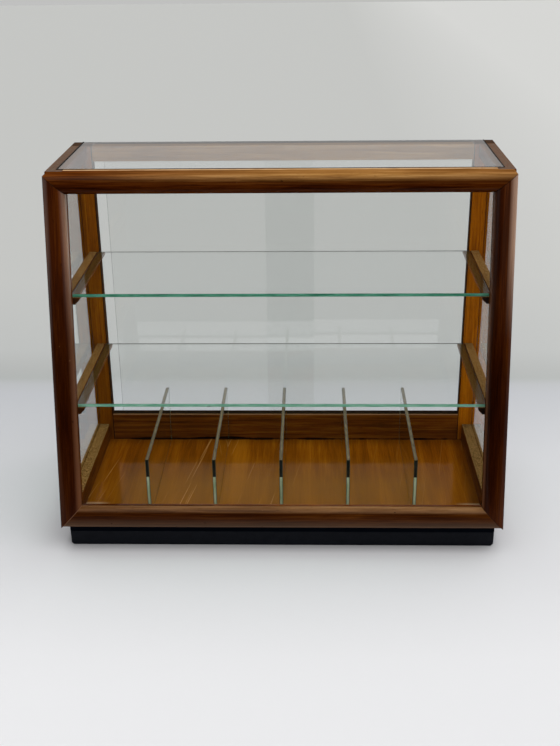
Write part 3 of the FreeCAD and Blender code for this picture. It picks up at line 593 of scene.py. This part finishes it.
def shelf_edge(dark, light):
    """Edges of a level sheet: green in front, as if lit from inside, grey behind and dark at the sides."""
    def edge(s, surface):
        ripple = s.noise(s.place(ACROSS, (20 * MM, 2 * MM, 2 * MM)), 2, 0.5)
        chips = s.span(s.noise(s.place(ACROSS, (12 * MM, 4 * MM, 4 * MM)), 3, 0.7), 0.70, 0.74, 0.0, 0.7)
        front = s.blend(chips, s.ramp(ripple, [(0.35, dark), (0.65, light)]), srgb(18, 60, 42))
        colour = s.blend(s.maths("LESS_THAN", s.along(BACK), SHELF_MIDDLE), srgb(92, 94, 86), front)
        colour = s.blend(s.span(s.facing("X"), 0.4, 0.6), colour, srgb(24, 22, 15))
        return ground(s, colour, surface, "Z")
    return edge


def top_edge(s, surface):
    """Edges of the top pane: dirty all round, and darkest in their upper part."""
    upper = s.span(s.along(UP), cad_high.z - 4.0 * MM, cad_high.z - 3.0 * MM)
    return ground(s, s.blend(upper, srgb(96, 98, 88), srgb(16, 15, 10)), surface, "Z")


def divider_edge(middle, half):
    """Edges of an upright divider: grey above, black over green in front, the green painted as if lit from
    inside, and darker at their arrises.
    """
    def edge(s, surface):
        ripple = s.noise(s.place(UP, (20 * MM, 2 * MM, 2 * MM)), 2, 0.5)
        # Painted light: the pale green of the front edges, as if lit from inside.
        green = s.ramp(ripple, [(0.35, srgb(164, 184, 146)), (0.65, srgb(220, 230, 200))])
        front = s.blend(s.span(s.along(UP), *DIVIDER_BLACK), green, srgb(3, 3, 1))
        speckle = s.noise(s.place(BACK, (12 * MM, 2 * MM, 2 * MM)), 3, 0.6)
        grey = s.ramp(speckle, [(0.35, srgb(74, 64, 42)), (0.65, srgb(126, 110, 80))])
        above = s.span(s.facing("Z"), 0.5, 0.6)
        colour = s.blend(above, front, grey)
        aside = s.maths("ABSOLUTE", s.maths("SUBTRACT", s.along(ACROSS), middle))
        arris = s.span(aside, half - 1.2 * MM, half - 0.7 * MM, 0.0, 0.8)
        shade = s.blend(above, srgb(40, 60, 36), srgb(56, 40, 18))
        return ground(s, s.blend(arris, colour, shade), surface, "X")
    return edge


def steel(name):
    """Plain screw steel with fine turning marks."""
    s = shader(name)
    marks = s.noise(s.place(UP, (0.2 * MM, 3 * MM, 3 * MM)), 3, 0.6)
    rough = s.span(marks, 0.3, 0.7, 0.28, 0.5)
    return s.finish(s.add("ShaderNodeBsdfPrincipled", Base_Color=srgb(150, 148, 144), Metallic=1.0,
                          Roughness=rough).outputs[0])


def putty_finish(name):
    """Old dark putty, a little uneven."""
    s = shader(name)
    spots = s.noise(s.place(ACROSS, (6 * MM, 4 * MM, 4 * MM)), 4, 0.7)
    colour = s.ramp(spots, [(0.35, srgb(10, 8, 6)), (0.65, srgb(34, 27, 20))])
    return s.finish(s.add("ShaderNodeBsdfPrincipled", Base_Color=colour, Roughness=0.7,
                          Specular_IOR_Level=0.1).outputs[0])


def dress(material, *names):
    """Give CAD nodes a finish."""
    for name in names:
        nodes[name].material_slots[0].material = material


def soften(width, *names):
    """Ease the arrises of CAD nodes: their corners are joined, flats made whole and edges rounded."""
    for name in names:
        piece = nodes[name]
        weld = piece.modifiers.new("join", "WELD")
        weld.merge_threshold = 0.01 * MM
        flats = piece.modifiers.new("flats", "DECIMATE")
        flats.decimate_type = "DISSOLVE"
        flats.angle_limit = math.radians(0.5)
        arris = piece.modifiers.new("arris", "BEVEL")
        arris.width = width
        arris.segments = 2
        arris.limit_method = "ANGLE"
        arris.angle_limit = math.radians(35)
        arris.use_clamp_overlap = True
        shade = piece.modifiers.new("shade", "WEIGHTED_NORMAL")
        shade.keep_sharp = False


SIDES = ("left", "right")
FRONT_STILES = [f"front_{side}_stile" for side in SIDES]
SIDE_BEADS = [f"front_{side}_bead" for side in SIDES]
RAIL_BEADS = ["front_top_bead", "front_bottom_bead"]
SIDE_TOPS = [f"{side}_top_rail" for side in SIDES]
SIDE_BOTTOMS = [f"{side}_bottom_rail" for side in SIDES]
POSTS = [f"{side}_rear_post" for side in SIDES]
REAR_RAILS = ["rear_top_rail", "rear_bottom_rail"]
CLEATS = [f"{level}_{side}_cleat" for level in ("upper", "lower") for side in SIDES]
DIVIDERS = sorted(name for name in nodes if name.startswith("divider_"))
PANES = ["front_glass", "left_side_glass", "right_side_glass"]
DOORS = [f"{side}_door_glass" for side in SIDES]
BOARDS = [f"plinth_{place}" for place in ("front", "back", "left", "right")]

# Dark, middle and light colours of the woods.
MOULDING = (srgb(44, 13, 2), srgb(88, 36, 4), srgb(132, 66, 12))
# Painted light: paler colours for the top rail's faces that look up; also the rear top rail's own colours.
PALE_TOP_AND_PAINTED_LIGHT = (srgb(122, 75, 30), srgb(176, 125, 64), srgb(210, 162, 100))
# Painted shade: the bottom rail's colours, a darker copy of the moulding's.
FOOT_SHADED = (srgb(34, 11, 2), srgb(64, 28, 4), srgb(98, 52, 12))
# Painted light: paler colours for the bottom rail's faces that look up.
FOOT_PAINTED_LIGHT = (srgb(98, 61, 30), srgb(140, 97, 57), srgb(168, 126, 84))
POST = (srgb(54, 22, 3), srgb(96, 46, 6), srgb(134, 76, 16))
LEFT_POST = (srgb(96, 48, 2), srgb(148, 80, 4), srgb(182, 110, 14))
# Painted light: the right post's colours, lighter than the left post's.
RIGHT_POST_LIT = (srgb(128, 66, 2), srgb(188, 103, 3), srgb(220, 136, 14))
RAIL = (srgb(54, 24, 3), srgb(92, 46, 5), srgb(122, 68, 14))
REAR_RAIL = (srgb(60, 28, 3), srgb(112, 57, 7), srgb(150, 88, 20))
FLOOR = (srgb(80, 38, 1), srgb(114, 58, 2), srgb(144, 82, 10))
BLOCK = (srgb(150, 112, 70), srgb(186, 148, 100), srgb(206, 172, 124))
PLINTH_BLACK = (0.0030, 0.0042, 0.0076, 1)
PLINTH_WORN = srgb(33, 35, 42)


def woods():
    """Dress the wooden pieces."""
    dress(wood("moulding_sloping", SLOPE, MOULDING, gloss=0.9, shine=0.2, matt=lower_stile,
               marks=(stile_light_and_shade, mitres, nicks)), *FRONT_STILES)
    dress(wood("moulding_across", ACROSS, MOULDING, (PALE_TOP_AND_PAINTED_LIGHT, top_round_light), figure=(160 * MM, 5 * MM),
               gloss=0.12, shine=0.2, matt=upper_face, marks=(rubbed_rebate, mitres, nicks)),
          "front_top_rail")
    dress(wood("moulding_foot", ACROSS, FOOT_SHADED, (FOOT_PAINTED_LIGHT, foot_round_light), figure=(160 * MM, 7 * MM),
               gloss=0.14, shine=0.2, marks=(foot_reflection_and_lines, mitres, nicks)), "front_bottom_rail")
    dress(wood("bead_sloping", SLOPE, MOULDING), *SIDE_BEADS)
    dress(wood("bead_across", ACROSS, MOULDING), *RAIL_BEADS)
    dress(wood("side_top_wood", BACK, MOULDING, gloss=0.12, matt=upper_face,
               marks=(rubbed_top(srgb(112, 98, 86), 0.6),)), *SIDE_TOPS)
    for name, light in zip(SIDE_BOTTOMS, (srgb(164, 122, 70), srgb(140, 106, 62))):
        dress(wood(f"{name}_wood", BACK, RAIL, gloss=0.15, matt=upper_face,
                   marks=(speckled_top(srgb(56, 33, 12), light),)), name)
    for name, palette in zip(POSTS, (LEFT_POST, RIGHT_POST_LIT)):
        dress(wood(f"{name}_wood", UP, POST, (palette, post_inside), figure=(160 * MM, 6 * MM), gloss=0.05,
                   marks=(end_grain(srgb(60, 48, 38)), inner_edge_grime_and_shade)), name)
    dress(wood("rear_bottom_wood", ACROSS, REAR_RAIL, figure=(180 * MM, 6 * MM), gloss=0.12, matt=upper_face,
               marks=(arris_highlight_top_shade, open_foot)), "rear_bottom_rail")
    dress(wood("rear_top_wood", ACROSS, PALE_TOP_AND_PAINTED_LIGHT, figure=(180 * MM, 6 * MM), gloss=0.12,
               marks=(rear_top_shade_and_line,)), "rear_top_rail")
    dress(wood("cleat_wood", BACK, RAIL, gloss=0.14, marks=(rubbed_top(srgb(128, 98, 56)), dark_tips)),
          *CLEATS)
    dress(wood("floor_wood", BACK, FLOOR, figure=(300 * MM, 20 * MM), gloss=0.29, shine=0.1, wear=0.1,
               matt=outer_edge, marks=(front_pane_light, scratches, rear_joint, dusty_corners, black_edges)),
          "floor_panel")
    dress(wood("block_wood", ACROSS, BLOCK, gloss=0.0), "plinth_corner_blocks")
    soften(0.7 * MM, *SIDE_TOPS, *SIDE_BOTTOMS, *POSTS, *REAR_RAILS, *CLEATS)


def panes():
    """Dress the glass."""
    dress(glass("pane_glass"), *PANES, *DOORS)
    dress(glass("top_pane_glass", top_edge), "top_glass")
    dress(glass("upper_shelf_glass", shelf_edge(srgb(60, 140, 112), srgb(104, 186, 156))), "upper_shelf")
    dress(glass("lower_shelf_glass", shelf_edge(srgb(116, 186, 156), srgb(164, 220, 196))), "lower_shelf")
    for name in DIVIDERS:
        low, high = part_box(name)
        edge = divider_edge((low.x + high.x) / 2, (high.x - low.x) / 2)
        dress(glass(f"{name}_glass", edge), name)
    soften(0.25 * MM, "upper_shelf", "lower_shelf", *DIVIDERS, *DOORS)


def plinth():
    """Dress the plinth's boards and its screws."""
    dress(paint("plinth_paint", PLINTH_BLACK, PLINTH_WORN), *BOARDS)
    dress(steel("screw_steel"), "plinth_screws")
    soften(0.8 * MM, *BOARDS)


def putty():
    """A thin uneven bead of putty in the joint round the top glass, fuller at the left than at the right."""
    low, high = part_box("top_glass")
    edge = 0.4 * MM
    rise = 0.9 * MM
    step = 3 * MM
    full = 1.1 * MM
    spare = 0.45 * MM
    sunk_share = 0.2
    uneven_share = 0.35
    ring = 6
    left = low.x - edge
    right = high.x + edge
    front = low.y - edge
    corners = [((left, high.y), full), ((left, front), full),
               ((right, front), spare), ((right, high.y), spare)]
    verts = []
    faces = []
    for (start, start_half), (end, end_half) in zip(corners, corners[1:]):
        begin = Vector((*start, high.z))
        finish = Vector((*end, high.z))
        out = (finish - begin).normalized().cross(UP)
        count = round((finish - begin).length / step)
        first = len(verts)
        for index in range(count + 1):
            share = index / count
            middle = begin.lerp(finish, share)
            wander = math.sin(index * 1.7) * math.sin(index * 0.61 + begin.x * 90)
            half = (start_half + (end_half - start_half) * share) * (1 + uneven_share * wander)
            for turn in range(ring - 1):
                angle = math.pi * turn / (ring - 2)
                lift = rise * (math.sin(angle) - sunk_share)
                verts.append(middle + out * half * math.cos(angle) + UP * lift)
            verts.append(middle - UP * full)
        for index in range(count):
            near = first + index * ring
            for turn in range(ring):
                following = (turn + 1) % ring
                faces.append((near + turn, near + following, near + ring + following, near + ring + turn))
        faces.append(tuple(first + turn for turn in range(ring - 1, -1, -1)))
        faces.append(tuple(first + count * ring + turn for turn in range(ring)))
    mesh = bpy.data.meshes.new("top_glass_putty")
    mesh.from_pydata(verts, [], faces)
    mesh.update()
    mesh.materials.append(putty_finish("putty"))
    piece = bpy.data.objects.new("top_glass_putty", mesh)
    scene.collection.objects.link(piece)
    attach(piece, "case")


def sheet(name, low, high, height, material):
    """A level sheet of the stage between two corners."""
    mesh = bpy.data.meshes.new(name)
    mesh.from_pydata([(low[0], low[1], height), (high[0], low[1], height), (high[0], high[1], height),
                      (low[0], high[1], height)], [], [(0, 1, 2, 3)])
    mesh.materials.append(material)
    level = bpy.data.objects.new(name, mesh)
    scene.collection.objects.link(level)
    return level


def painted_light_paper():
    """Pale paper with painted light: lightest in front, with a band of painted shade where a soft fold would
    stand behind the case, greyer far off and lighter at the far right.
    """
    s = shader("pale_floor")
    near = -0.35
    far = 0.95
    far_off = (1.2, 3.0)
    lit_right_side = (0.35, 1.10)
    grey = srgb(192, 194, 193)
    # Painted light and shade: lightest in front, and a darker band about 0.4 m behind the middle, as the
    # shade of a fold in the paper.
    lit_tones = [(0.0, srgb(234, 235, 239)), (0.35, srgb(211, 213, 218)), (0.53, srgb(191, 194, 200)),
             (0.56, srgb(186, 189, 193)), (0.58, srgb(175, 179, 179)), (0.61, srgb(178, 181, 181)),
             (0.68, srgb(186, 189, 189)), (1.0, grey)]
    paper = s.ramp(s.span(s.along(BACK), near, far), lit_tones)
    distance = s.add("ShaderNodeVectorMath", operation="LENGTH")
    s.put(distance.inputs[0], s.add("ShaderNodeTexCoord").outputs["Object"])
    paper = s.blend(s.span(distance.outputs["Value"], *far_off), paper, grey)
    # Painted light: lighter towards the far right.
    paper = s.blend(s.span(s.along(ACROSS), *lit_right_side, 0.0, 0.25), paper, (1, 1, 1, 1))
    return s.finish(s.add("ShaderNodeBsdfPrincipled", Base_Color=paper, Roughness=0.8).outputs[0])


def flag_black():
    """Black for light that comes off the case from above, and clear for all other light."""
    s = shader("flag_black")
    ray = s.add("ShaderNodeLightPath").outputs
    met = s.maths("MAXIMUM", s.maths("GREATER_THAN", ray["Glossy Depth"], 0.5), ray["Is Diffuse Ray"])
    above = s.rest(s.add("ShaderNodeNewGeometry").outputs["Backfacing"])
    black = s.add("ShaderNodeBsdfDiffuse", Color=(0.01, 0.01, 0.01, 1)).outputs[0]
    clear = s.add("ShaderNodeBsdfTransparent").outputs[0]
    return s.finish(s.mixed(s.product(met, above), clear, black))


def studio():
    """Pale all round for the camera, and for light a room that's dim in front and pale behind and beside."""
    s = Shader(bpy.data.worlds.new("studio"), "ShaderNodeOutputWorld")
    direction = s.add("ShaderNodeTexCoord").outputs["Generated"]
    parts = s.add("ShaderNodeSeparateXYZ", Vector=direction).outputs
    behind = s.span(parts["Y"], -0.25, 0.45, 0.02, 0.55)
    right = s.span(parts["X"], 0.30, 0.90, 0.0, 0.95)
    left = s.span(parts["X"], -0.60, -0.95, 0.0, 0.30)
    room = s.maths("MAXIMUM", behind, s.maths("MAXIMUM", left, right))
    ray = s.add("ShaderNodeLightPath").outputs
    mirrored = s.maths("ADD", ray["Glossy Depth"], ray["Diffuse Depth"])
    through = s.product(ray["Is Transmission Ray"], s.maths("LESS_THAN", mirrored, 0.5))
    seen = s.maths("MAXIMUM", ray["Is Camera Ray"], through)
    backdrop = 0.53
    strength = s.add("ShaderNodeMix", data_type="FLOAT")
    s.put(strength.inputs[0], seen)
    s.put(strength.inputs[2], room)
    s.put(strength.inputs[3], backdrop)
    return s.finish(s.add("ShaderNodeBackground", Color=(1.0, 1.0, 0.995, 1),
                          Strength=strength.outputs[0]).outputs[0])


def stage():
    """A pale floor with painted light, a card that keeps it out of the front's reflections, and one large
    soft lamp.
    """
    reach = 9.0
    card_edge = -0.42
    card_height = 0.5 * MM
    sheet("studio_floor", (-reach, -reach), (reach, reach), 0.0, painted_light_paper())
    card = sheet("flag", (-reach, -reach), (reach, card_edge), card_height, flag_black())
    card.visible_shadow = False
    scene.world = studio()
    lamp = bpy.data.lights.new("overhead", "SUN")
    lamp.energy = 2.2
    lamp.angle = math.radians(80)
    lamp.color = (1.0, 0.985, 0.96)
    overhead = bpy.data.objects.new("overhead", lamp)
    overhead.rotation_euler = Vector((-0.18, 0.05, -1)).to_track_quat("-Z", "Y").to_euler()
    scene.collection.objects.link(overhead)


def camera():
    """The photograph's viewpoint."""
    data = bpy.data.cameras.new("camera")
    data.sensor_fit = "HORIZONTAL"
    data.sensor_width = 36
    data.lens = FOCAL_PIXELS * data.sensor_width / IMAGE_WIDTH
    data.clip_start = 0.05
    view = bpy.data.objects.new("camera", data)
    view.matrix_world = (Matrix.Translation(CAMERA_PLACE) @ Matrix.Rotation(-CAMERA_YAW, 4, "Z")
                         @ Matrix.Rotation(math.pi / 2 - CAMERA_PITCH, 4, "X")
                         @ Matrix.Rotation(CAMERA_ROLL, 4, "Z"))
    scene.collection.objects.link(view)
    scene.camera = view


woods()
panes()
plinth()
putty()
stage()
camera()
scene.view_settings.view_transform = "Standard"
